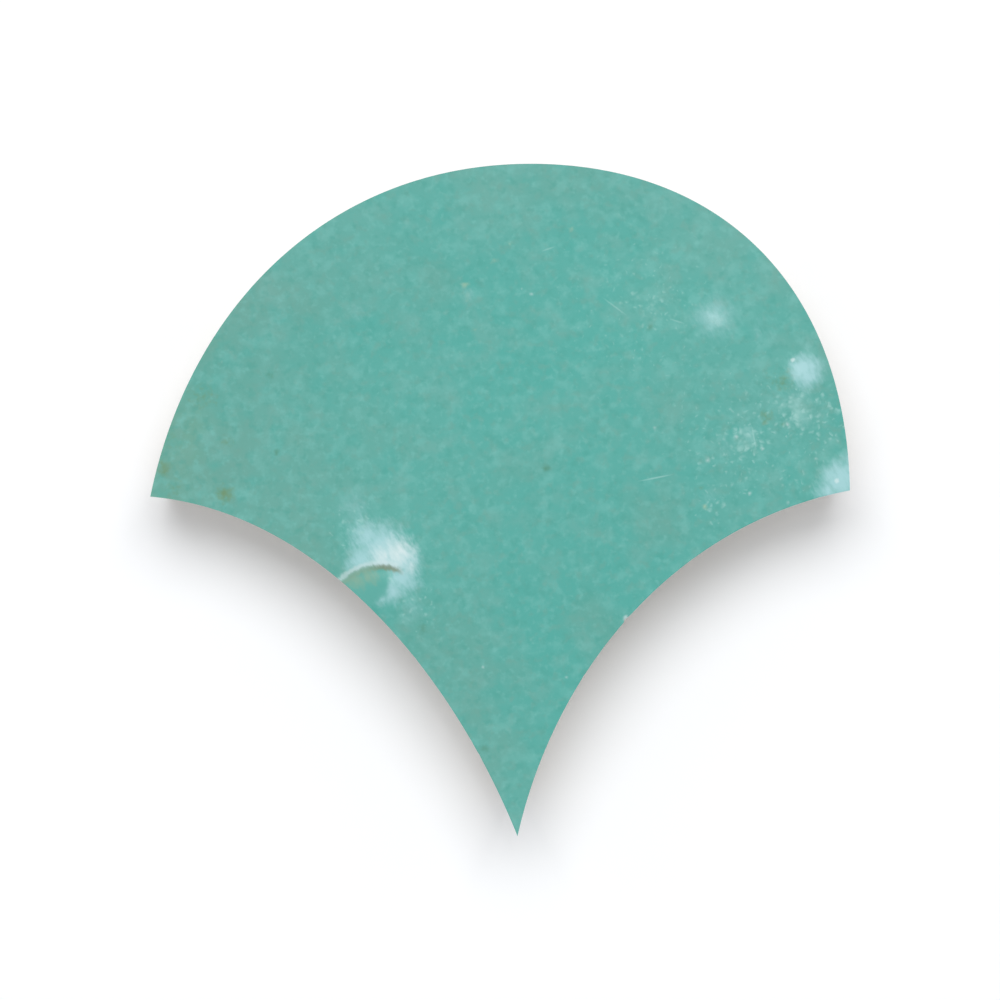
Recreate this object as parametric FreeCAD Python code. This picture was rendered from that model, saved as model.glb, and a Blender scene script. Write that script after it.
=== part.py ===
"""Fish scale tile: one hand-cut piece of glazed terracotta, lying on its back with the glazed face up.

The tile is chiselled out of a fired and glazed slab. Its outline is four curves between the left
shoulder, the crown, the right shoulder and the tail: a round head, and two hollow flanks in which the
heads of the next row nest. The cut edges lean in towards the back, so that neighbours meet only along
the arris of the face, and the face rises and falls a little, as on a slab that was beaten flat by hand.

Millimetres, +Z up, +Y from the tail to the head. The origin is on the back, under the middle of the
outline's box.
"""

import FreeCAD, Part
import math
import os

# Outline of the glazed face
tile_width = 100.0  # left shoulder to right shoulder
tile_height = 95.9  # crown to tail
left_shoulder_rise = 48.3  # height of the left shoulder above the tail
right_shoulder_rise = 49.2  # height of the right shoulder above the tail
crown_shift = 4.4  # how far the crown stands to the right of the middle
tail_shift = 2.5  # how far the tail stands to the right of the middle

# Directions, in degrees from +X, in which each curve leaves its two ends
left_shoulder_head_angle = 78.4
right_shoulder_head_angle = 91.0
right_shoulder_flank_angle = 190.8
tail_right_flank_angle = 77.3
tail_left_flank_angle = 111.8
left_shoulder_flank_angle = -5.0

# Fullness of each curve: the reach of its control points as a share of the chord
left_head_fullness = 0.392
right_head_fullness = 0.432
right_flank_fullness = 0.365
left_flank_fullness = 0.345

# Section
tile_thickness = 11.0  # back to face, without the relief
undercut = 2.0  # how far the cut edge leans in from the face to the back

# Relief of the face: two crossing waves and a fall towards the rim
broad_wave_height = 0.28
broad_wave_length = 88.0
broad_wave_angle = 25.0
short_wave_height = 0.16
short_wave_length = 49.0
short_wave_angle = 118.0
rim_fall = 0.35  # how much lower the face lies at half the width from the middle
relief_step = 8.0  # spacing of the points that the relief is drawn through


def direction(degrees):
    """Unit vector in the plane of the tile."""
    angle = math.radians(degrees)
    return FreeCAD.Vector(math.cos(angle), math.sin(angle), 0)


def inward(travel):
    """Unit normal to the right of a direction of travel: the outline runs clockwise, so it points in."""
    return FreeCAD.Vector(travel.y, -travel.x, 0)


def moved_in(corner, arriving, leaving, inset):
    """The corner where the outline's two sides would meet if both lay further in by the inset."""
    first, second = inward(arriving), inward(leaving)
    return corner + (first + second) * (inset / (1 + first.dot(second)))


def outline(inset, level):
    """Closed wire of the outline at one level, with its sides moved in by the inset."""
    tail_y = -tile_height / 2
    level_way = direction(0)
    left = moved_in(
        FreeCAD.Vector(-tile_width / 2, tail_y + left_shoulder_rise, level),
        -direction(left_shoulder_flank_angle),
        direction(left_shoulder_head_angle),
        inset,
    )
    crown = moved_in(FreeCAD.Vector(crown_shift, tile_height / 2, level), level_way, level_way, inset)
    right = moved_in(
        FreeCAD.Vector(tile_width / 2, tail_y + right_shoulder_rise, level),
        -direction(right_shoulder_head_angle),
        direction(right_shoulder_flank_angle),
        inset,
    )
    tail = moved_in(
        FreeCAD.Vector(tail_shift, tail_y, level),
        -direction(tail_right_flank_angle),
        direction(tail_left_flank_angle),
        inset,
    )
    return Part.Wire(
        [
            side(left, left_shoulder_head_angle, crown, 180, left_head_fullness),
            side(crown, 0, right, right_shoulder_head_angle, right_head_fullness),
            side(right, right_shoulder_flank_angle, tail, tail_right_flank_angle, right_flank_fullness),
            side(tail, tail_left_flank_angle, left, left_shoulder_flank_angle, left_flank_fullness),
        ]
    )


def side(start, start_angle, end, end_angle, fullness):
    """One curve of the outline, which leaves each of its ends at the angle given there."""
    reach = fullness * (end - start).Length
    curve = Part.BezierCurve()
    curve.setPoles([start, start + direction(start_angle) * reach, end + direction(end_angle) * reach, end])
    return curve.toShape()


def wave(x, y, height, length, angle):
    """Height of one straight wave at a point."""
    way = direction(angle)
    return height * math.cos(2 * math.pi * (x * way.x + y * way.y) / length)


def face_level(x, y):
    """Height of the glazed face above the back at a point."""
    broad = wave(x, y, broad_wave_height, broad_wave_length, broad_wave_angle)
    short = wave(x, y, short_wave_height, short_wave_length, short_wave_angle)
    fall = rim_fall * (x * x + y * y) / (tile_width / 2) ** 2
    return tile_thickness + broad + short - fall


def spread(span):
    """Evenly spaced places across a span about the origin, no further apart than the relief's step."""
    count = math.ceil(span / relief_step)
    return [span * (n / count - 0.5) for n in range(count + 1)]


def above_face(headroom):
    """Everything between the relief of the face and a level well clear of it."""
    margin = 2 * relief_step
    xs = spread(tile_width + margin)
    ys = spread(tile_height + margin)
    relief = Part.BSplineSurface()
    relief.interpolate([[FreeCAD.Vector(x, y, face_level(x, y)) for y in ys] for x in xs])
    return relief.toShape().extrude(FreeCAD.Vector(0, 0, headroom))


def tile():
    """The blank between the back and a level above the face, cut down to the face's relief."""
    headroom = 2 * (broad_wave_height + short_wave_height + rim_fall)
    lean = undercut / tile_thickness
    back = outline(undercut, 0)
    top = outline(-lean * headroom, tile_thickness + headroom)
    blank = Part.makeLoft([back, top], True, True)
    return blank.cut(above_face(3 * headroom))


os.makedirs("parts", exist_ok=True)
fish_scale_tile = tile()
print("valid", fish_scale_tile.isValid(), "solids", len(fish_scale_tile.Solids))
print("volume cm3", fish_scale_tile.Volume / 1000, "box", fish_scale_tile.BoundBox)
fish_scale_tile.exportStep("parts/fish_scale_tile.step")
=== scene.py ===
import bmesh
import bpy
import math
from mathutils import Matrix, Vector, noise


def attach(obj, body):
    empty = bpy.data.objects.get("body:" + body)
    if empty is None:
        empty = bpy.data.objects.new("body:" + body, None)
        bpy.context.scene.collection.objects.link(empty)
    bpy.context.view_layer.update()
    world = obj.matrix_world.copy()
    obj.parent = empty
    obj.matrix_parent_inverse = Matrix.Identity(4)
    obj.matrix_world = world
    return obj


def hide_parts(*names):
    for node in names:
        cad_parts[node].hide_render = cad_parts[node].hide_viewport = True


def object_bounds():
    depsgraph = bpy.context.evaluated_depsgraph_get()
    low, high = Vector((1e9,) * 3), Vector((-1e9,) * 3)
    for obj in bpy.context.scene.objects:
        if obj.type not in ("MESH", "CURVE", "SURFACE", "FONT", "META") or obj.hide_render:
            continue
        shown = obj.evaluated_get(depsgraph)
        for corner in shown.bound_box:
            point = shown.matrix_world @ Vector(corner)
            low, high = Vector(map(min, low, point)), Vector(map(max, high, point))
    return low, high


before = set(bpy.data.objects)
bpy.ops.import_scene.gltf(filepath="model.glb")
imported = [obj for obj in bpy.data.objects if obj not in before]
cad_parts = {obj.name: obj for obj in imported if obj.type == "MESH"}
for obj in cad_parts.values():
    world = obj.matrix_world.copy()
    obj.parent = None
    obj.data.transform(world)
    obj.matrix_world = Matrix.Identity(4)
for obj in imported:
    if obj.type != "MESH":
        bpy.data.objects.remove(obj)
cad_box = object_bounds()

# The tile body
# One piece of terracotta, fired, glazed on its face and then chiselled by hand to a fish scale.
# Four curves run between the left shoulder, the crown, the right shoulder and the tail, and the cut
# sides lean in to a smaller back, which leaves room for mortar behind the arris of the face.
MM = 0.001
cad_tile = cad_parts["fish_scale_tile"]
tile_thickness = 11 * MM
outline_steps = 130  # points along each of the four curves
face_margin = 0.6 * MM  # a band inside the arris, which the small chips break into
back_margin = 3 * MM  # a band inside the edge of the back, which the chisel breaks into
margin_slope = 0.1  # how fast both bands widen away from a sharp corner
face_cuts = 170  # cuts from the head to the flanks, on the face
back_cuts = 40  # the same on the back
side_cuts = 15  # cuts from the face down to the back

# At each corner, clockwise from the left shoulder: the angle at which the outline leaves it, the angle
# back along the curve before it, and the fullness of the curve that leaves it.
outline_bends = [
    (78.4, -5.0, 0.392),
    (0.0, 180.0, 0.432),
    (190.8, 91.0, 0.365),
    (111.8, 77.3, 0.345),
]
sharp_corners = (0, 2, 3)  # both shoulders and the tail: the crown alone is smooth
right_shoulder = 2 * outline_steps  # its place in a ring of points, which starts at the left shoulder
ring_length = len(outline_bends) * outline_steps


def outline_corners(points, level):
    """Left shoulder, crown, right shoulder and tail of a ring of points, laid at one level."""
    corners = [
        min(points, key=lambda p: p.x),
        max(points, key=lambda p: p.y),
        max(points, key=lambda p: p.x),
        min(points, key=lambda p: p.y),
    ]
    return [Vector((p.x, p.y, level)) for p in corners]


def heading(degrees):
    """Unit vector in the plane of the tile."""
    return Vector((math.cos(math.radians(degrees)), math.sin(math.radians(degrees)), 0))


def outline(corners):
    """Mesh of the closed outline through four corners."""
    curve = bpy.data.curves.new("outline", "CURVE")
    curve.dimensions = "3D"
    curve.resolution_u = outline_steps
    spline = curve.splines.new("BEZIER")
    spline.bezier_points.add(len(corners) - 1)
    spline.use_cyclic_u = True
    for n, knot in enumerate(spline.bezier_points):
        leaving, back_along, fullness = outline_bends[n]
        reach = fullness * (corners[(n + 1) % len(corners)] - corners[n]).length
        back_reach = outline_bends[n - 1][2] * (corners[n - 1] - corners[n]).length
        knot.handle_left_type = "FREE"
        knot.handle_right_type = "FREE"
        knot.co = corners[n]
        knot.handle_left = corners[n] + heading(back_along) * back_reach
        knot.handle_right = corners[n] + heading(leaving) * reach
    return bpy.data.meshes.new_from_object(bpy.data.objects.new("outline", curve))


# The tile's material slots, in the order in which they are filled further down
GLAZED = 0
BARE = 1
half_height = cad_box[1].z / 2
back_level = 0.1 * MM  # points of the solid below this lie on its back
cad_points = [vertex.co for vertex in cad_tile.data.vertices]
face_points = [p for p in cad_points if p.z > half_height]
back_points = [p for p in cad_points if p.z < back_level]
face_corners = outline_corners(face_points, tile_thickness)
back_corners = outline_corners(back_points, 0)
corner_edges = [(back_corners[n], face_corners[n]) for n in sharp_corners]

# The two outlines that end up inside the others stand clear of them until they are joined to them
body = bmesh.new()
body.from_mesh(outline(face_corners))
body.from_mesh(outline(back_corners))
body.from_mesh(outline(outline_corners(face_points, 2 * tile_thickness)))
body.from_mesh(outline(outline_corners(back_points, -tile_thickness)))
ARRIS = 0
BACK_EDGE = 1
FACE_INSIDE = 2
BACK_INSIDE = 3


def outline_ring(number):
    """The vertices of one outline, which keep their order while the operators add others after them."""
    body.verts.ensure_lookup_table()
    return body.verts[number * ring_length:(number + 1) * ring_length]


def off_corner(place):
    """How far a place on the sides lies from the nearest sharp corner, a shoulder or the tail."""
    level = place.z / tile_thickness
    return min((place - foot.lerp(head, level)).length for foot, head in corner_edges)


def inward(ring, n):
    """Direction across an outline, towards the middle of the tile."""
    along = ring[(n + 1) % ring_length].co - ring[n - 1].co
    return Vector((along.y, -along.x, 0)).normalized()


def set_in(ring, margin, level):
    """Lays an outline at a level and moves it in by a margin, by less towards the sharp corners."""
    ways = [inward(ring, n) for n in range(ring_length)]
    for vertex, way in zip(ring, ways):
        vertex.co.z = level
        vertex.co += way * min(margin, margin_slope * off_corner(vertex.co))
    for corner in sharp_corners:
        n = corner * outline_steps
        ring[n].co = (ring[n - 1].co + ring[n].co + ring[n + 1].co) / 3


def join_rings(first, second, material):
    """Closes the band between two outlines, and returns the edges across it."""
    rings = [outline_ring(first), outline_ring(second)]
    edges = [body.edges.get((ring[n - 1], ring[n])) for ring in rings for n in range(ring_length)]
    for face in bmesh.ops.bridge_loops(body, edges=edges)["faces"]:
        face.material_index = material
    return [body.edges.get(pair) for pair in zip(*rings)]


def fill_outline(ring, cuts, material):
    """Closes an outline with rungs from its head to its flanks, each cut into equal lengths."""
    head_run = ring[1:right_shoulder]
    flank_run = ring[:right_shoulder:-1]
    run_edges = [body.edges.get(pair) for run in (head_run, flank_run) for pair in zip(run, run[1:])]
    filled = bmesh.ops.bridge_loops(body, edges=run_edges)["faces"]
    left_tip = (ring[0], head_run[0], flank_run[0])
    right_tip = (ring[right_shoulder], head_run[-1], flank_run[-1])
    for tip in (left_tip, right_tip):
        filled += bmesh.ops.contextual_create(body, geom=list(tip))["faces"]
    for face in filled:
        face.material_index = material
    rungs = [body.edges.get(pair) for pair in zip(head_run, flank_run)]
    bmesh.ops.subdivide_edges(body, edges=rungs, cuts=cuts)


bmesh.ops.subdivide_edges(body, edges=join_rings(ARRIS, BACK_EDGE, BARE), cuts=side_cuts)
join_rings(ARRIS, FACE_INSIDE, GLAZED)
join_rings(BACK_EDGE, BACK_INSIDE, BARE)
set_in(outline_ring(FACE_INSIDE), face_margin, tile_thickness)
set_in(outline_ring(BACK_INSIDE), back_margin, 0)
fill_outline(outline_ring(FACE_INSIDE), face_cuts, GLAZED)
fill_outline(outline_ring(BACK_INSIDE), back_cuts, BARE)
shoulder_tips = [face for face in body.faces if len(face.verts) > 4]
bmesh.ops.poke(body, faces=shoulder_tips)
bmesh.ops.recalc_face_normals(body, faces=body.faces[:])
depth_layer = body.verts.layers.float.new("depth_below_face")

# The relief of the face
# The slab was beaten flat by hand, so the face waves a little, and the glaze lies over small lumps and
# dips. At the left flank a shallow flake broke out of the body and left a ledge under the glaze.
broad_wave = (0.28 * MM, 88 * MM, 25.0)  # height, length and direction
short_wave = (0.16 * MM, 49 * MM, 118.0)
rim_fall = 0.35 * MM  # how much lower the face lies at the rim than in the middle
rim_radius = 50 * MM
hand_dents = (0.06 * MM, 21 * MM)  # depth and size
small_dents = (0.014 * MM, 7 * MM)

# Place, spread and height, in millimetres, of the lumps that catch the light
lumps = [
    ((-16.9, -11.3), 3.8, 0.40),
    ((29.6, 23.6), 2.4, 0.14),
    ((42.1, 16.1), 2.6, 0.26),
    ((46.4, 0.4), 3.4, 0.30),
]
flake_middle = Vector((-17.0, -17.2, 0)) * MM
flake_radius = 7.75 * MM
flake_reach = 2.6 * MM  # how far the scar reaches in from its ledge
flake_depth = 0.24 * MM
flake_right = -13.6 * MM  # the ledge has died out here
flake_fade = 2 * MM  # the length over which it does
ledge_softness = 0.3 * MM  # half the width of the step down from the ledge


def wave(place, height, length, angle):
    """Height of one straight wave at a place."""
    return height * math.cos(2 * math.pi * place.dot(heading(angle)) / length)


def soft_step(value, low, high):
    """0 below low, 1 above high, with a smooth rise between them."""
    share = min(max((value - low) / (high - low), 0), 1)
    return share * share * (3 - 2 * share)


def flake(place):
    """Depth of the shallow scar below its curved ledge."""
    below = flake_radius - (place - flake_middle).length
    if below < -ledge_softness or place.y < flake_middle.y:
        return 0
    ledge = soft_step(below, -ledge_softness, ledge_softness)
    return_slope = 1 - soft_step(below, 0, flake_reach)
    right_end = 1 - soft_step(place.x, flake_right - flake_fade, flake_right)
    return flake_depth * ledge * return_slope * right_end


def face_height(place):
    """Height of the glazed face above the back at a place."""
    flat = Vector((place.x, place.y, 0))
    height = tile_thickness + wave(flat, *broad_wave) + wave(flat, *short_wave)
    height -= rim_fall * flat.length_squared / rim_radius ** 2
    for depth, size in (hand_dents, small_dents):
        height += depth * noise.noise(flat / size)
    for (x, y), spread, rise in lumps:
        away = (flat - Vector((x, y, 0)) * MM).length
        height += rise * MM * math.exp(-0.5 * (away / (spread * MM)) ** 2)
    return height - flake(flat)


# The marks of the chisel
# The sides were chipped away by hand, a flake at a time. Scallops run down them and break the edge of
# the back, the fracture is gritty all over, and small chips are left along the arris of the flanks. The
# back is as the slab was pressed, not quite flat.
scallop_width = 6.5 * MM
scallop_height = 10 * MM
scallop_depth = 1.3 * MM
splinter_size = 2.6 * MM
splinter_depth = 0.35 * MM
grit_size = 0.9 * MM
grit_depth = 0.07 * MM
back_swell = 0.18 * MM
back_swell_size = 14 * MM
corner_start = 5 * MM  # the scallops die out towards the shoulders and the tail
corner_end = 22 * MM
bite_start = 0.12  # share of the thickness below the arris, over which the fracture sets in
facing_down = -0.9  # bare faces whose normal has a lower z than this are the back's
chip_size = 2.2 * MM
chip_depth = 0.14 * MM
chip_gain = 1.8  # how steeply a chip deepens
chip_rarity = 0.7  # the more, the fewer chips
nick_place = Vector((18.0, -16.9, 0)) * MM
nick_size = 0.55 * MM
nick_depth = 0.3 * MM


def bite(place):
    """How far the broken clay lies inside the straight cut at a place on the sides."""
    cell = Vector((place.x / scallop_width, place.y / scallop_width, place.z / scallop_height))
    depth = scallop_depth * (1 - min(noise.voronoi(cell)[0][0], 1) ** 2)
    depth += splinter_depth * (1 - min(noise.voronoi(place / splinter_size)[0][0], 1) ** 2)
    depth += grit_depth * (1 + noise.noise(place / grit_size))
    return depth * soft_step(off_corner(place), corner_start, corner_end)


back_ring = outline_ring(BACK_EDGE)
back_pulls = [inward(back_ring, n) * bite(vertex.co) for n, vertex in enumerate(back_ring)]

body.normal_update()
on_face = {vertex for face in body.faces if face.material_index == GLAZED for vertex in face.verts}
back_faces = [face for face in body.faces if face.material_index == BARE and face.normal.z < facing_down]
on_back = {vertex for face in back_faces for vertex in face.verts}
for vertex in body.verts:
    place = vertex.co.copy()
    if vertex in on_face:
        vertex.co.z = face_height(place)
        continue
    below = 1 - place.z / tile_thickness
    vertex[depth_layer] = below * tile_thickness
    if vertex in on_back:
        swell = back_swell * (1 + noise.noise(place / back_swell_size)) / 2
        rough = grit_depth * (1 + noise.noise(place / grit_size)) / 2
        vertex.co.z += swell + rough
        continue
    vertex.co.z *= face_height(place) / tile_thickness
    vertex.co -= vertex.normal * bite(place) * soft_step(below, 0, bite_start)

for vertex, pull in zip(back_ring, back_pulls):
    vertex.co += pull
arris = outline_ring(ARRIS)
for n in range(right_shoulder, ring_length):
    vertex = arris[n]
    chip = max(0, noise.noise(vertex.co / chip_size) * chip_gain - chip_rarity) * chip_depth
    chip += nick_depth * (1 - soft_step((vertex.co.xy - nick_place.xy).length, 0, nick_size))
    chip *= soft_step(off_corner(vertex.co), 0, corner_start)
    vertex.co += inward(arris, n) * chip
    vertex.co.z -= chip

ridge_angle = math.radians(30)
for edge in body.edges:
    materials = {face.material_index for face in edge.link_faces}
    edge.smooth = len(materials) == 1 and edge.calc_face_angle() < ridge_angle
for face in body.faces:
    face.smooth = True
bmesh.ops.recalc_face_normals(body, faces=body.faces[:])
tile_mesh = bpy.data.meshes.new("glazed_tile")
body.to_mesh(tile_mesh)
body.free()
tile = bpy.data.objects.new("glazed_tile", tile_mesh)
bpy.context.scene.collection.objects.link(tile)


# The glaze
# A turquoise glaze, brushed on the clay by hand and fired. It lies in thin and thick clouds: greyish and
# olive where it is thin, at the left and the top, and a deeper teal right of the middle. Iron spots, pale
# specks and a fine grain lie in it under a glassy skin that is never quite flat. Highlights and glints are
# painted over it as milky white patches and specks, where the lumps of the glaze catch the light.
def linear(hex_colour):
    """Linear RGBA of an sRGB hex colour."""
    channels = [int(hex_colour[n:n + 2], 16) / 255 for n in (0, 2, 4)]
    return [c / 12.92 if c <= 0.04045 else ((c + 0.055) / 1.055) ** 2.4 for c in channels] + [1]


def node(material, kind, sockets, **settings):
    """Adds a node with its settings, and gives each socket named a value or a link from an output."""
    added = material.node_tree.nodes.new(kind)
    for name, value in settings.items():
        setattr(added, name, value)
    for key, value in sockets.items():
        if isinstance(value, bpy.types.NodeSocket):
            material.node_tree.links.new(value, added.inputs[key])
        else:
            added.inputs[key].default_value = value
    return added


# A Mix node's own sockets for colours
FACTOR = 0
FROM = 6
TO = 7
MIXED = 2

glaze = bpy.data.materials.new("turquoise_glaze")
glaze.use_nodes = True
glaze_shader = glaze.node_tree.nodes["Principled BSDF"]
glaze_place = node(glaze, "ShaderNodeTexCoord", {}).outputs["Object"]
across = node(glaze, "ShaderNodeSeparateXYZ", {"Vector": glaze_place})

glaze_body = linear("5caba0")
glaze_deep = linear("4eaa9f")
glaze_dark = linear("4b9f92")
glaze_light = linear("76bcb3")
glaze_greyed = linear("75ada3")
glaze_thin = linear("6da396")
glaze_edge = linear("75a38c")
pale_glint_and_scratch = linear("9ccec7")
milky_highlight_and_haze = linear("a0cfd1")
highlight_and_nick_white = linear("d5e6e6")
glaze_olive = linear("83ab96")
iron_olive = linear("6e8e62")
iron_green = linear("538e77")
ochre_pale = linear("b3c5a4")
body_and_shade_brown = linear("7f8a6b")

on_plane = node(glaze, "ShaderNodeVectorMath", {
    0: glaze_place, 1: (1, 1, 0)}, operation="MULTIPLY").outputs["Vector"]


def pushed_about(places, size, reach):
    """Places on the face moved about by a noise, so that what is laid there has no even outline.

    The size of the noise and the reach of the move are in millimetres."""
    shift = node(glaze, "ShaderNodeTexNoise", {
        "Vector": glaze_place, "Scale": 1 / (size * MM), "Detail": 2})
    centred = node(glaze, "ShaderNodeVectorMath", {
        0: shift.outputs["Color"], 1: (0.5, 0.5, 0.5)}, operation="SUBTRACT")
    moved = node(glaze, "ShaderNodeVectorMath", {
        0: centred.outputs["Vector"], 1: (2 * reach * MM, 2 * reach * MM, 0), 2: places},
        operation="MULTIPLY_ADD")
    return moved.outputs["Vector"]


# The thin margins: axis, where the thinning starts and where it is full in millimetres, colour, strength
margins = [
    ("X", -12, -44, glaze_thin, 0.70),
    ("X", -36, -50, glaze_edge, 0.60),
    ("X", 12, 44, glaze_greyed, 0.36),
    ("Y", 20, 46, glaze_greyed, 0.62),
    ("Y", -34, -46, glaze_greyed, 0.60),
]
cloudy = pushed_about(on_plane, size=7, reach=14)
cloudy_axes = node(glaze, "ShaderNodeSeparateXYZ", {"Vector": cloudy})
paint = glaze_body
for axis, start, full, shade, strength in margins:
    amount = node(glaze, "ShaderNodeMapRange", {
        "Value": cloudy_axes.outputs[axis], "From Min": start * MM, "From Max": full * MM,
        "To Max": strength}, interpolation_type="SMOOTHSTEP")
    paint = node(glaze, "ShaderNodeMix", {
        FACTOR: amount.outputs["Result"], FROM: paint, TO: shade}, data_type="RGBA").outputs[MIXED]

# The glaze ran together and lies deepest a little right of the middle
pool_middle = (12 * MM, 4 * MM, 0)
pool_radius = 30 * MM
pool_heart = 6 * MM  # within this it is deepest
pool_strength = 0.35
pool = node(glaze, "ShaderNodeVectorMath", {0: cloudy, 1: pool_middle}, operation="DISTANCE")
pooled = node(glaze, "ShaderNodeMapRange", {
    "Value": pool.outputs["Value"], "From Min": pool_radius, "From Max": pool_heart,
    "To Max": pool_strength}, interpolation_type="SMOOTHSTEP")
paint = node(glaze, "ShaderNodeMix", {
    FACTOR: pooled.outputs["Result"], FROM: paint, TO: glaze_deep}, data_type="RGBA").outputs[MIXED]


def clouded(material, places, paint, drift, layers):
    """Lays clouds of other shades over a paint, each layer drawn from its own part of the noise."""
    for n, (size, detail, low, high, shade, strength) in enumerate(layers):
        drifted = node(material, "ShaderNodeMapping", {
            "Vector": places, "Location": [step * n for step in drift]})
        pattern = node(material, "ShaderNodeTexNoise", {
            "Vector": drifted.outputs["Vector"], "Scale": 1 / (size * MM), "Detail": detail})
        amount = node(material, "ShaderNodeMapRange", {
            "Value": pattern.outputs["Fac"], "From Min": low, "From Max": high, "To Max": strength},
            interpolation_type="SMOOTHSTEP")
        paint = node(material, "ShaderNodeMix", {
            FACTOR: amount.outputs["Result"], FROM: paint, TO: shade}, data_type="RGBA").outputs[MIXED]
    return paint


# Clouds of thick and thin glaze: size in millimetres, detail, low and high ends, colour, strength
glaze_drift = (0.31, 0.17, 0.05)
glaze_clouds = [
    (34, 3, 0.38, 0.70, glaze_deep, 0.70),
    (13, 4, 0.48, 0.74, glaze_thin, 0.50),
    (5, 3, 0.48, 0.72, glaze_greyed, 0.45),
    (4, 3, 0.50, 0.74, glaze_deep, 0.50),
    (2.2, 3, 0.46, 0.72, glaze_light, 0.42),
    (1.5, 2, 0.50, 0.76, glaze_thin, 0.45),
    (1.3, 2, 0.48, 0.76, glaze_dark, 0.42),
    (1.0, 2, 0.52, 0.80, glaze_light, 0.42),
]
paint = clouded(glaze, glaze_place, paint, glaze_drift, glaze_clouds)

# What frays the edges of the spots: streaks left by the brush, and the grain of the glaze
brush_angle = math.radians(-58)
streak_length = 1.3 * MM
streak_width = 0.55 * MM
grain_size = 0.8 * MM
brushed = node(glaze, "ShaderNodeMapping", {
    "Vector": on_plane, "Rotation": (0, 0, brush_angle), "Scale": (streak_length, streak_width, 1)},
    vector_type="TEXTURE")
frays = []
for places, scale, detail in ((brushed.outputs["Vector"], 1, 3), (glaze_place, 1 / grain_size, 1)):
    pattern = node(glaze, "ShaderNodeTexNoise", {"Vector": places, "Scale": scale, "Detail": detail})
    frays.append(node(glaze, "ShaderNodeMath", {0: pattern.outputs["Fac"], 1: -0.5}).outputs["Value"])
streaks, grains = frays

# The scar of the flake lies inside the curve of its ledge, which wavers with the streaks
ledge_waver = 0.8 * MM
from_middle = node(glaze, "ShaderNodeVectorMath", {0: on_plane, 1: flake_middle}, operation="DISTANCE")
off_ledge = node(glaze, "ShaderNodeMath", {
    0: streaks, 1: ledge_waver, 2: from_middle.outputs["Value"]},
    operation="MULTIPLY_ADD").outputs["Value"]
within_ledge = node(glaze, "ShaderNodeMapRange", {
    "Value": off_ledge, "From Min": flake_radius,
    "From Max": flake_radius - ledge_softness}).outputs["Result"]

# The outlines of the spots: ragged for the painted highlights and glints, the hazes and the scar, a little
# uneven for the small ones
ragged = pushed_about(pushed_about(on_plane, size=3.5, reach=1.0), size=0.8, reach=0.45)
uneven = pushed_about(on_plane, size=1.2, reach=0.3)

# Specks: dots of uneven size and strength, scattered at random, into which the painted glints break
speck_spacing = 1.0 * MM
speck_edge = 0.6  # how far a speck reaches, as a share of the spacing
speck_heart = 0.05  # how far it is at its strongest
speck_loss = 0.45  # how much less far the weakest one reaches
scatter = node(glaze, "ShaderNodeTexVoronoi", {
    "Vector": ragged, "Scale": 1 / speck_spacing}, voronoi_dimensions="2D")
speck_draw = node(glaze, "ShaderNodeSeparateColor", {"Color": scatter.outputs["Color"]})
speck_fade = node(glaze, "ShaderNodeMath", {
    0: speck_draw.outputs["Red"], 1: speck_loss, 2: scatter.outputs["Distance"]}, operation="MULTIPLY_ADD")
specks = node(glaze, "ShaderNodeMapRange", {
    "Value": speck_fade.outputs["Value"], "From Min": speck_edge, "From Max": speck_heart,
    "To Min": -0.5, "To Max": 0.5}).outputs["Result"]

# Spots in the glaze: place and radius in millimetres, strength
# Painted highlights: milky white patches where the lumps of the glaze catch the light, at the flaw and at
# the right edge
painted_highlights = [
    ((-16.8, -7.0), 6.2, 0.92),
    ((-19.0, -5.2), 4.4, 0.82),
    ((-19.8, -8.4), 4.0, 0.82),
    ((-14.0, -8.6), 4.6, 0.88),
    ((-13.7, -11.2), 3.8, 0.85),
    ((-15.2, -13.0), 3.2, 0.78),
    ((-17.0, -14.0), 2.2, 0.60),
    ((43.4, 18.6), 4.0, 0.90),
    ((44.0, 17.4), 3.4, 0.80),
    ((48.6, 3.0), 5.0, 0.88),
    ((50.6, 4.6), 4.6, 0.88),
    ((46.6, 1.4), 3.6, 0.74),
]
# Hazes: soft milky patches, most of them painted sheen around the painted highlights and glints, a few pale
# patches in the glaze
hazes_and_painted_sheen = [
    ((30.6, 26.0), 6.0, 0.62),
    ((-20.8, -1.2), 5.5, 0.46),
    ((-12.8, -15.6), 5.0, 0.40),
    ((37.0, 24.0), 5.5, 0.32),
    ((-20.4, 26.8), 4.4, 0.32),
    ((32.6, 7.4), 4.2, 0.32),
    ((35.4, 9.6), 4.8, 0.38),
    ((37.2, 11.8), 3.8, 0.30),
    ((42.2, 14.6), 4.2, 0.36),
    ((43.2, 11.6), 4.2, 0.34),
    ((41.0, 10.2), 3.4, 0.30),
    ((29.6, 0.2), 4.5, 0.34),
    ((-4.6, 29.2), 2.2, 0.44),
    ((44.0, 22.0), 5.0, 0.30),
    ((-15.5, -8.5), 10.0, 0.46),
]
# The brightest middle of the painted highlight above the flaw, painted near white
painted_highlight_hearts = [
    ((-14.4, -7.6), 4.4, 0.66),
    ((-16.9, -7.9), 3.4, 0.60),
    ((-12.9, -9.6), 2.6, 0.46),
]
# Painted glints: soft pale wisps where the grain of the glaze glitters in the light
painted_glint_wisps = [
    ((42.6, 12.8), 5.2, 0.46),
    ((35.4, 9.0), 5.0, 0.40),
    ((22.6, 27.0), 7.0, 0.26),
]
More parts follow.
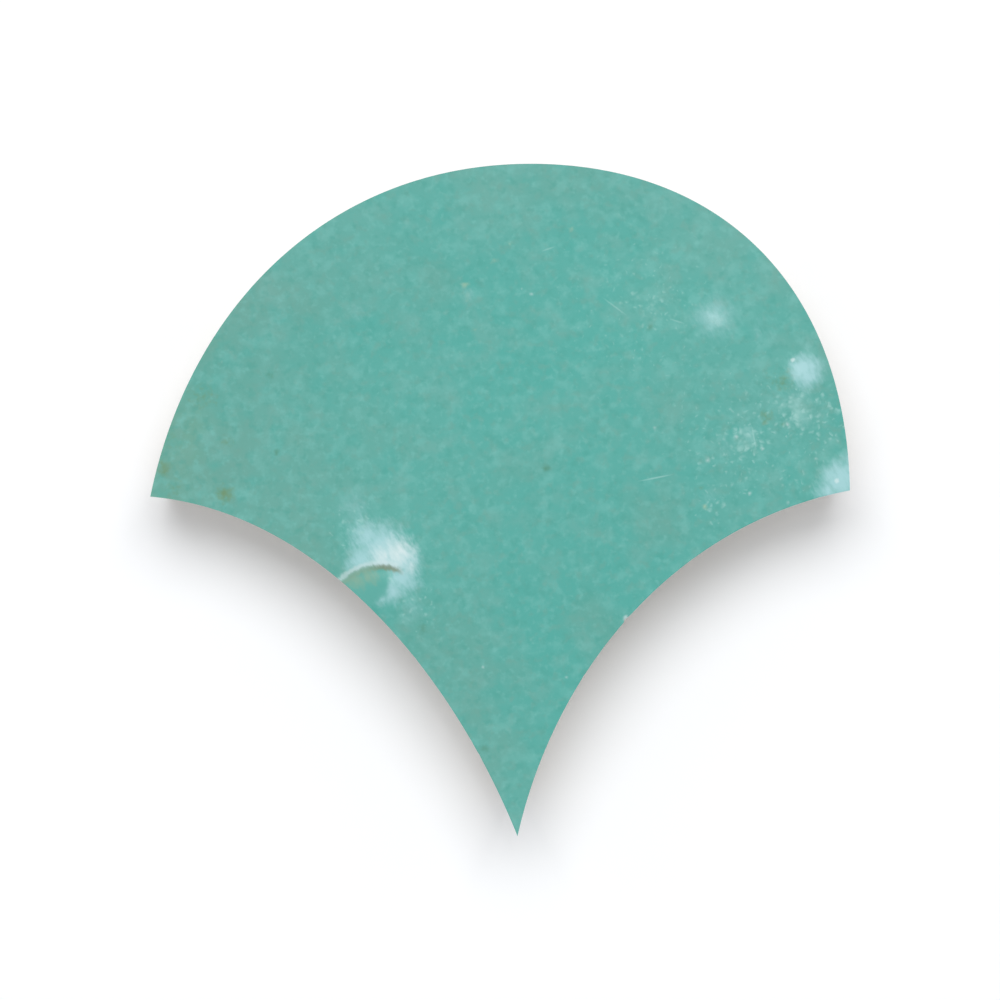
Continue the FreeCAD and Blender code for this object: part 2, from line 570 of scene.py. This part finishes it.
# Fields of painted glint specks, where the grain of the glaze glitters in the light
painted_glint_fields = [
    ((42.6, 12.8), 6.5, 0.72),
    ((35.6, 9.0), 6.5, 0.66),
    ((29.8, 5.6), 4.0, 0.44),
    ((23.6, 28.6), 7.0, 0.32),
    ((30.4, 0.0), 6.0, 0.46),
    ((36.0, 8.0), 18.0, 0.40),
    ((46.0, 12.0), 8.0, 0.56),
    ((20.0, 27.0), 20.0, 0.28),
    ((-22.4, -6.2), 3.5, 0.50),
    ((-20.5, -3.5), 5.5, 0.44),
    ((-11.6, -15.0), 6.0, 0.46),
]
clear_scar = [((-20.0, -10.6), 5.3, 2.2)]
olive_scar = [
    ((-20.9, -11.4), 3.0, 0.85),
    ((-18.7, -10.6), 2.6, 0.75),
]
iron_spots = [
    ((-39.2, 0.8), 2.3, 0.75),
    ((-47.8, 4.4), 1.9, 0.60),
    ((-47.4, 8.6), 2.4, 0.40),
    ((-39.0, 8.2), 1.9, 0.38),
    ((-42.4, 14.6), 3.8, 0.42),
    ((-46.6, 1.6), 3.2, 0.36),
    ((38.0, 11.8), 1.9, 0.60),
    ((40.2, 10.8), 0.9, 0.50),
    ((40.2, 17.0), 3.2, 0.48),
    ((28.6, 1.7), 1.0, 0.45),
    ((-4.0, -26.8), 1.8, 0.34),
]
dark_dots = [
    ((-31.9, 6.8), 0.9, 0.70),
    ((6.5, 4.5), 1.0, 0.75),
    ((-32.8, 17.8), 2.2, 0.40),
    ((-22.0, 4.6), 1.6, 0.36),
    ((-11.0, -18.3), 1.7, 0.42),
    ((21.4, 24.5), 1.1, 0.55),
    ((-2.3, -35.4), 1.2, 0.60),
]
pale_dots = [
    ((-5.0, 30.7), 1.3, 0.50),
    ((-4.7, 29.1), 1.8, 0.40),
    ((-0.8, 34.0), 1.0, 0.48),
    ((-3.5, 24.3), 0.9, 0.44),
    ((1.3, 36.5), 1.0, 0.42),
    ((10.2, 38.7), 1.0, 0.42),
    ((29.2, -1.0), 0.9, 0.60),
]
# White specks: painted glints on the glaze, and the pale speck of the nick at the right flank
glint_and_nick_specks = [
    ((41.7, 19.9), 0.55, 1.00),
    ((41.0, 10.8), 0.65, 0.60),
    ((33.7, 9.0), 0.70, 0.55),
    ((37.4, 7.3), 0.65, 0.50),
    ((29.6, 5.7), 0.90, 0.50),
    ((48.0, 2.7), 0.55, 1.00),
    ((35.6, 0.9), 0.60, 0.58),
    ((45.0, 5.9), 0.60, 0.50),
    ((22.0, 10.2), 0.60, 0.50),
    ((41.0, -0.4), 0.60, 0.45),
    ((-2.4, -23.8), 0.60, 0.50),
    ((9.4, -25.2), 0.60, 0.45),
    ((4.5, 29.3), 0.60, 0.55),
    ((3.1, 30.1), 0.50, 0.40),
    ((17.9, -16.9), 0.70, 1.00),
]
spot_groups = [
    # spots, outline, colour, what frays them, how much, strongest mix, kept within the ledge
    (hazes_and_painted_sheen, ragged, milky_highlight_and_haze, streaks, 0.30, 0.75, False),
    (painted_highlights, ragged, milky_highlight_and_haze, streaks, 0.42, 1.0, False),
    (painted_highlight_hearts, ragged, highlight_and_nick_white, streaks, 0.40, 1.0, False),
    (painted_glint_wisps, ragged, pale_glint_and_scratch, grains, 0.90, 0.6, False),
    (painted_glint_fields, ragged, pale_glint_and_scratch, specks, 0.50, 0.75, False),
    (clear_scar, ragged, glaze_body, streaks, 0.40, 1.0, True),
    (olive_scar, ragged, glaze_olive, streaks, 0.50, 0.8, True),
    (iron_spots, uneven, iron_olive, grains, 0.70, 0.8, False),
    (dark_dots, uneven, iron_green, grains, 0.60, 0.8, False),
    (pale_dots, uneven, ochre_pale, grains, 0.40, 0.75, False),
    (glint_and_nick_specks, uneven, highlight_and_nick_white, grains, 0.30, 0.6, False),
]
spot_edge = 0.16  # where a spot's frayed strength starts to show
spot_full = 0.80  # and where it covers fully
painted_highlight_amount = 0
for spots, outlined, shade, fray, frayed, strongest, scar_only in spot_groups:
    total = 0
    for (x, y), radius, strength in spots:
        away = node(glaze, "ShaderNodeVectorMath", {
            0: outlined, 1: (x * MM, y * MM, 0)}, operation="DISTANCE")
        near = node(glaze, "ShaderNodeMapRange", {
            "Value": away.outputs["Value"], "From Min": radius * MM, "From Max": 0, "To Max": strength})
        total = node(glaze, "ShaderNodeMath", {0: near.outputs["Result"], 1: total},
                     operation="MAXIMUM").outputs["Value"]
    worn = node(glaze, "ShaderNodeMath", {0: fray, 1: frayed, 2: total}, operation="MULTIPLY_ADD")
    amount = node(glaze, "ShaderNodeMapRange", {
        "Value": worn.outputs["Value"], "From Min": spot_edge, "From Max": spot_full, "To Max": strongest},
        interpolation_type="SMOOTHSTEP").outputs["Result"]
    if scar_only:
        amount = node(glaze, "ShaderNodeMath", {
            0: amount, 1: within_ledge}, operation="MULTIPLY").outputs["Value"]
    if spots is painted_highlights:
        painted_highlight_amount = amount
    paint = node(glaze, "ShaderNodeMix", {
        FACTOR: amount, FROM: paint, TO: shade}, data_type="RGBA").outputs[MIXED]

# Fine scratches: both ends in millimetres, strength
scratch_width = 0.17  # to each side
scratch_heart = 0.3  # share of the width that is full
scratches = [
    ((19.4, 2.6), (24.9, 3.7), 0.55),
    ((14.4, 29.0), (18.3, 26.1), 0.36),
    ((24.1, 25.8), (26.4, 25.1), 0.32),
    ((5.8, 35.4), (7.9, 36.1), 0.40),
    ((35.8, 10.8), (36.5, 7.1), 0.45),
]
for (x0, y0), (x1, y1), strength in scratches:
    length = math.hypot(x1 - x0, y1 - y0)
    along = node(glaze, "ShaderNodeMapping", {
        "Vector": on_plane, "Location": ((x0 + x1) / 2 * MM, (y0 + y1) / 2 * MM, 0),
        "Rotation": (0, 0, math.atan2(y1 - y0, x1 - x0)),
        "Scale": (length / 2 * MM, scratch_width * MM, 1)}, vector_type="TEXTURE")
    away = node(glaze, "ShaderNodeVectorMath", {0: along.outputs["Vector"]}, operation="LENGTH")
    amount = node(glaze, "ShaderNodeMapRange", {
        "Value": away.outputs["Value"], "From Min": 1, "From Max": scratch_heart, "To Max": strength})
    paint = node(glaze, "ShaderNodeMix", {
        FACTOR: amount.outputs["Result"], FROM: paint, TO: pale_glint_and_scratch}, data_type="RGBA").outputs[MIXED]

# The ledge of the flake: a painted highlight along its lip at the flank, and under it a soft line where the
# body shows, darkened as painted shade of the step, olive at the flank and brown inwards
lines_fade = 1.2 * MM  # the lines die out over this length at the right
lines_start = 2 * MM  # and come in over this height at the flank
olive_end = flake_right - 5.4 * MM
brown_start = flake_right - 3.0 * MM
ledge_end = node(glaze, "ShaderNodeMapRange", {
    "Value": across.outputs["X"], "From Min": flake_right, "From Max": flake_right - lines_fade})
ledge_foot = node(glaze, "ShaderNodeMapRange", {
    "Value": across.outputs["Y"], "From Min": flake_middle.y, "From Max": flake_middle.y + lines_start})
ledge_shown = node(glaze, "ShaderNodeMath", {
    0: ledge_end.outputs["Result"], 1: ledge_foot.outputs["Result"]}, operation="MULTIPLY")
far_in = node(glaze, "ShaderNodeMapRange", {
    "Value": across.outputs["X"], "From Min": olive_end, "From Max": brown_start})
ledge_body_and_shade = node(glaze, "ShaderNodeMix", {
    FACTOR: far_in.outputs["Result"], FROM: glaze_olive, TO: body_and_shade_brown}, data_type="RGBA")
ledge_highlight_and_shade = [
    # radius, half width, colour, strength
    # painted highlight along the lip
    (flake_radius + 0.45 * MM, 0.65 * MM, highlight_and_nick_white, 0.50),
    # the body at the step, darkened as painted shade
    (flake_radius - 0.15 * MM, 0.60 * MM, ledge_body_and_shade.outputs[MIXED], 0.75),
]
line_heart = 0.1  # share of the half width that is full
for radius, width, shade, strength in ledge_highlight_and_shade:
    offset = node(glaze, "ShaderNodeMath", {0: off_ledge, 1: radius}, operation="SUBTRACT")
    line = node(glaze, "ShaderNodeMath", {0: offset.outputs["Value"]}, operation="ABSOLUTE")
    drawn = node(glaze, "ShaderNodeMapRange", {
        "Value": line.outputs["Value"], "From Min": width, "From Max": line_heart * width,
        "To Max": strength}, interpolation_type="SMOOTHSTEP")
    amount = node(glaze, "ShaderNodeMath", {
        0: ledge_shown.outputs["Value"], 1: drawn.outputs["Result"]}, operation="MULTIPLY")
    paint = node(glaze, "ShaderNodeMix", {
        FACTOR: amount.outputs["Value"], FROM: paint, TO: shade}, data_type="RGBA").outputs[MIXED]

glaze.node_tree.links.new(paint, glaze_shader.inputs["Base Color"])
glaze_shader.inputs["IOR"].default_value = 1.52

# Gloss: a little duller where the highlights are painted, with orange peel and a fine grain in its skin
clear_roughness = 0.13
painted_highlight_roughness = 0.24
ripples = [(2.6, 0.012), (0.6, 0.0045)]  # size and depth in millimetres
gloss = node(glaze, "ShaderNodeMapRange", {
    "Value": painted_highlight_amount, "To Min": clear_roughness, "To Max": painted_highlight_roughness})
glaze.node_tree.links.new(gloss.outputs["Result"], glaze_shader.inputs["Roughness"])
skin = None
for size, depth in ripples:
    ripple = node(glaze, "ShaderNodeTexNoise", {
        "Vector": glaze_place, "Scale": 1 / (size * MM), "Detail": 2})
    sockets = {"Height": ripple.outputs["Fac"], "Distance": depth * MM, "Strength": 1}
    if skin:
        sockets["Normal"] = skin
    skin = node(glaze, "ShaderNodeBump", sockets).outputs["Normal"]
glaze.node_tree.links.new(skin, glaze_shader.inputs["Normal"])

# The cut sides and the back
# Bare terracotta, pale and sandy, as the chisel left it: a matt fracture with sand and small pores in
# it, with the shade in the pores painted as dark flecks, and the cut edge of the glaze as a thin glassy
# line along the arris.
glaze_line_end = 0.25 * MM  # lower edge of the line before it wavers
glaze_line_full = 0.12 * MM  # above this the line is full
glaze_line_waver = 0.8 * MM  # how much lower it may wander
waver_size = 2 * MM
clay_roughness = 0.85
line_roughness = 0.2
sand_size = 0.7 * MM
sand_depth = 0.15 * MM
clay = bpy.data.materials.new("bare_terracotta")
clay.use_nodes = True
clay_shader = clay.node_tree.nodes["Principled BSDF"]
clay_place = node(clay, "ShaderNodeTexCoord", {}).outputs["Object"]
clay_body = linear("d1c8bb")
clay_line = linear("3d8d82")

# Clouds in the clay, as in the glaze; the last two are its pores, as dark flecks of painted shade, and its
# sand
clay_drift = (0.23, 0.11, 0.4)
clay_clouds = [
    (18, 3, 0.40, 0.70, linear("c3b6a5"), 0.70),
    (5, 4, 0.48, 0.74, linear("dfd7cb"), 0.70),
    (1.6, 3, 0.48, 0.74, linear("beb09e"), 0.50),
    # the pores: dark flecks of painted shade
    (0.8, 2, 0.62, 0.72, linear("9a8972"), 0.45),
    (0.5, 2, 0.60, 0.75, linear("efe8dc"), 0.45),
]
clay_paint = clouded(clay, clay_place, clay_body, clay_drift, clay_clouds)

below_face = node(clay, "ShaderNodeAttribute", {}, attribute_name="depth_below_face").outputs["Fac"]
wander = node(clay, "ShaderNodeTexNoise", {"Vector": clay_place, "Scale": 1 / waver_size, "Detail": 2})
from_edge = node(clay, "ShaderNodeMath", {
    0: wander.outputs["Fac"], 1: -glaze_line_waver, 2: below_face}, operation="MULTIPLY_ADD")
glaze_line = node(clay, "ShaderNodeMapRange", {
    "Value": from_edge.outputs["Value"], "From Min": glaze_line_end, "From Max": glaze_line_full},
    interpolation_type="SMOOTHSTEP").outputs["Result"]
lined = node(clay, "ShaderNodeMix", {FACTOR: glaze_line, FROM: clay_paint, TO: clay_line}, data_type="RGBA")
clay.node_tree.links.new(lined.outputs[MIXED], clay_shader.inputs["Base Color"])
clay_gloss = node(clay, "ShaderNodeMapRange", {
    "Value": glaze_line, "To Min": clay_roughness, "To Max": line_roughness})
clay.node_tree.links.new(clay_gloss.outputs["Result"], clay_shader.inputs["Roughness"])
sand = node(clay, "ShaderNodeTexNoise", {
    "Vector": clay_place, "Scale": 1 / sand_size, "Detail": 4, "Roughness": 0.7})
clay_grain = node(clay, "ShaderNodeBump", {
    "Height": sand.outputs["Fac"], "Distance": sand_depth, "Strength": 0.9})
clay.node_tree.links.new(clay_grain.outputs["Normal"], clay_shader.inputs["Normal"])

tile_mesh.materials.append(glaze)
tile_mesh.materials.append(clay)
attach(tile, "root")
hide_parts("fish_scale_tile")

# The floor
# A matt white board that the tile lies on, which keeps its soft shadow. From below it can be seen
# through, and what lies on it is lit through it, so that the back can be looked at.
contact = 0.8 * MM  # light that leaves the tile this close to the floor passes through it
floor_drop = 0.05 * MM  # the gap under the tile, so that back and floor don't lie in one plane
floor_radius = 3
floor_mesh = bpy.data.meshes.new("floor")
sheet = bmesh.new()
bmesh.ops.create_circle(sheet, cap_ends=True, segments=64, radius=floor_radius)
bmesh.ops.translate(sheet, verts=sheet.verts, vec=(0, 0, -floor_drop))
sheet.to_mesh(floor_mesh)
sheet.free()
floor = bpy.data.objects.new("floor", floor_mesh)
bpy.context.scene.collection.objects.link(floor)
white_board = bpy.data.materials.new("white_board")
white_board.use_nodes = True
board_lit = linear("f0f0f0")
board_seen = linear("fdfeff")
board_shader = white_board.node_tree.nodes["Principled BSDF"]
board_shader.inputs["Roughness"].default_value = 1
board_shader.inputs["Specular IOR Level"].default_value = 0
ray = node(white_board, "ShaderNodeLightPath", {})
seen = ray.outputs["Is Camera Ray"]
for mirrored in ("Is Glossy Ray", "Is Transmission Ray"):
    seen = node(white_board, "ShaderNodeMath", {
        0: seen, 1: ray.outputs[mirrored]}, operation="MAXIMUM").outputs["Value"]
seen_white = node(white_board, "ShaderNodeMix", {
    FACTOR: seen, FROM: board_lit, TO: board_seen}, data_type="RGBA")
white_board.node_tree.links.new(seen_white.outputs[MIXED], board_shader.inputs["Base Color"])
side_seen = node(white_board, "ShaderNodeNewGeometry", {})
close = node(white_board, "ShaderNodeMath", {
    0: ray.outputs["Ray Length"], 1: contact}, operation="LESS_THAN")
passed = node(white_board, "ShaderNodeMath", {
    0: side_seen.outputs["Backfacing"], 1: close.outputs["Value"]}, operation="MAXIMUM")
clear = node(white_board, "ShaderNodeBsdfTransparent", {})
board_finish = node(white_board, "ShaderNodeMixShader", {
    0: passed.outputs["Value"], 1: board_shader.outputs["BSDF"], 2: clear.outputs["BSDF"]})
board_output = white_board.node_tree.nodes["Material Output"]
white_board.node_tree.links.new(board_finish.outputs["Shader"], board_output.inputs["Surface"])
floor_mesh.materials.append(white_board)

# The light
# A pale room with one wide soft lamp beyond the head, which lays the shadow under the flanks and the
# tail, a small lamp high to the right of the head, which the lumps of the glaze catch as glints, and
# five dim low lamps around, which the waves of the glaze mirror when it is seen from the side.
scene = bpy.context.scene
world = bpy.data.worlds.new("pale_room")
world.use_nodes = True
scene.world = world
room = world.node_tree.nodes["Background"]
room.inputs["Color"].default_value = linear("fafcff")
room.inputs["Strength"].default_value = 0.50

low_lamp_azimuths = (30, 150, 210, 270, 330)
lamps = [
    # name, azimuth and elevation from the tile in degrees, distance, width and height in metres, watts
    ("soft_lamp", 92, 54, 2.4, 2.80, 1.70, 41.0),
    ("glint_lamp", 62, 77, 1.6, 0.16, 0.16, 0.55),
]
for azimuth in low_lamp_azimuths:
    lamps.append((f"low_lamp_{azimuth}", azimuth, 24, 1.5, 0.90, 0.50, 0.8))
for name, azimuth, elevation, distance, width, height, watts in lamps:
    lamp = bpy.data.lights.new(name, "AREA")
    lamp.shape = "ELLIPSE"
    lamp.size = width
    lamp.size_y = height
    lamp.energy = watts
    shown = bpy.data.objects.new(name, lamp)
    rise = math.sin(math.radians(elevation))
    level = math.cos(math.radians(elevation))
    shown.location = (heading(azimuth) * level + Vector((0, 0, rise))) * distance
    shown.rotation_euler = (-shown.location).to_track_quat("-Z", "Y").to_euler()
    shown.visible_camera = False
    scene.collection.objects.link(shown)

# The camera
# It looks straight down on the tile from far off, so that the outline keeps its true shape.
lens = 400  # millimetres
sensor = 36
frame_share = 0.70  # how much of the picture's width the tile fills
tile_width = cad_box[1].x - cad_box[0].x
camera = bpy.data.cameras.new("camera")
camera.lens = lens
camera.sensor_width = sensor
camera.clip_end = 20
viewer = bpy.data.objects.new("camera", camera)
viewer.location = (0, 0, tile_thickness + tile_width / frame_share * lens / sensor)
scene.collection.objects.link(viewer)
scene.camera = viewer
scene.view_settings.view_transform = "Standard"
